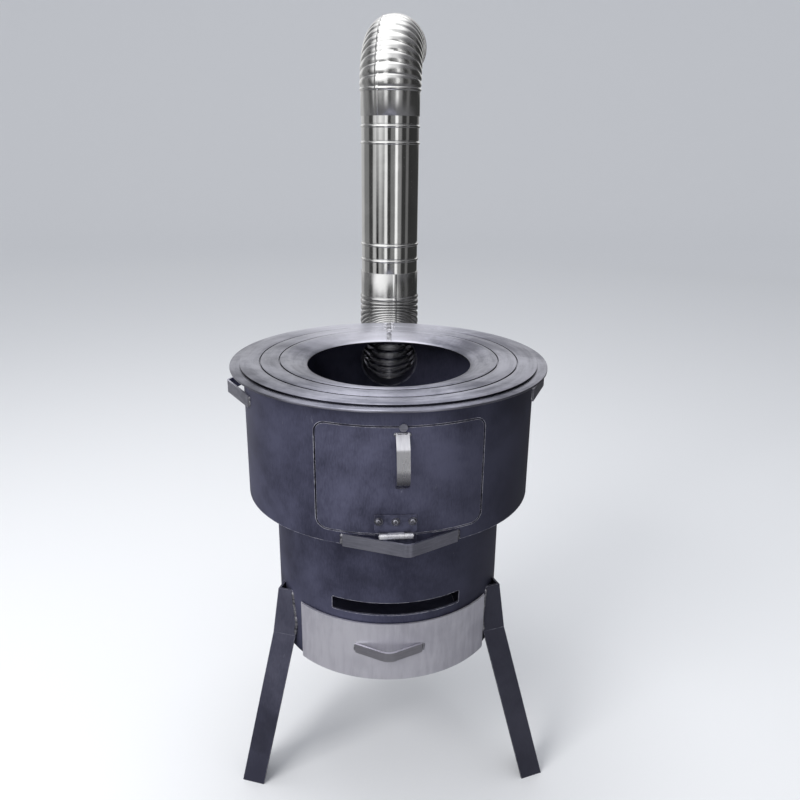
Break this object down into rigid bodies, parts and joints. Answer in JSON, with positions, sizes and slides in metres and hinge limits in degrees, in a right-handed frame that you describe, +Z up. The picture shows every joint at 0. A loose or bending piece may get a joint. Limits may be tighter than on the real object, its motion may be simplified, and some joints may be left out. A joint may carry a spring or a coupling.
{
  "type": "wood-fired cauldron stove with chimney",
  "caption": "Free-standing wood-fired cauldron stove: stepped steel drum on splayed legs, nested cooking rings, fuel door, ash drawer and an elbowed chimney.",
  "frame": {"origin": "on the vertical axis of the drum at floor level", "axes": "+Z up, -Y out of the fuel door and ash drawer (the front), +X to the right of someone looking at the front from outside"},
  "size_m": [0.5094, 0.7087, 1.2545],
  "materials": {
    "drum_steel": "dark hot-rolled mill scale",
    "door_steel": "dark hot-rolled mill scale",
    "ring_steel": "grey mill scale, lightly rubbed",
    "bar_steel": "dark drawn flat bar",
    "bright_strap": "satin bare steel",
    "drawer_steel": "light bare sheet, satin",
    "leg_steel": "dark angle bar",
    "zinc": "bright zinc plating",
    "stainless": "polished stainless sheet",
    "grate_iron": "cast, matt"
  },
  "bodies": {
    "stove": {"upper_drum": "drum_steel", "top_flange": "ring_steel", "drum_floor": "drum_steel", "lower_drum": "drum_steel", "bottom_plate": "drum_steel", "drawer_rails": "bar_steel", "grate_lugs": "bar_steel", "hinge_base_leaf": "bar_steel", "hinge_pin": "zinc", "rest_bar": "bar_steel", "left_handle": "bar_steel", "right_handle": "bar_steel", "leg_left": "leg_steel", "leg_right": "leg_steel", "leg_rear": "leg_steel", "leg_bracket_left": "leg_steel", "leg_bracket_right": "leg_steel", "leg_bracket_rear": "leg_steel", "flue_stub": "drum_steel"},
    "fuel_door": {"door_panel": "door_steel", "door_handle": "bright_strap", "door_stop": "bar_steel", "door_bolts": "zinc", "door_washers": "zinc", "door_nuts": "zinc", "hinge_door_leaf": "door_steel"},
    "ash_drawer": {"drawer_pan": "drum_steel", "drawer_front": "drawer_steel", "drawer_handle": "drawer_steel"},
    "grate": {"fire_grate": "grate_iron"},
    "large_ring": {"outer_ring": "ring_steel", "outer_ring_seat": "ring_steel"},
    "medium_ring": {"middle_ring": "ring_steel", "middle_ring_seat": "ring_steel"},
    "small_ring": {"inner_ring": "ring_steel"},
    "flue_elbow": {"lower_elbow": "stainless"},
    "pipe": {"chimney_pipe": "stainless"},
    "cowl": {"top_elbow": "stainless"}
  },
  "joints": [
    {"name": "door_hinge", "type": "hinge", "parent": "stove", "child": "fuel_door", "pos_m": [-0.008, -0.2335, 0.5215], "axis": [1, 0, 0], "range_deg": [0, 100]},
    {"name": "drawer_slide", "type": "slide", "parent": "stove", "child": "ash_drawer", "axis": [0, -1, 0], "range_m": [0, 0.26]},
    {"name": "grate_lift", "type": "slide", "parent": "stove", "child": "grate", "axis": [0, 0, 1], "range_m": [0, 0.12]},
    {"name": "large_ring_lift", "type": "slide", "parent": "stove", "child": "large_ring", "axis": [0, 0, 1], "range_m": [0, 0.06]},
    {"name": "medium_ring_lift", "type": "slide", "parent": "large_ring", "child": "medium_ring", "axis": [0, 0, 1], "range_m": [0, 0.06]},
    {"name": "small_ring_lift", "type": "slide", "parent": "medium_ring", "child": "small_ring", "axis": [0, 0, 1], "range_m": [0, 0.06]},
    {"name": "elbow_pull", "type": "slide", "parent": "stove", "child": "flue_elbow", "axis": [0.0819, 0.9966, 0], "range_m": [0, 0.03]},
    {"name": "pipe_lift", "type": "slide", "parent": "flue_elbow", "child": "pipe", "axis": [0, 0, 1], "range_m": [0, 0.05]},
    {"name": "cowl_turn", "type": "hinge", "parent": "pipe", "child": "cowl", "pos_m": [0.02892, 0.35181, 1.09], "axis": [0, 0, 1], "continuous": true}
  ]
}
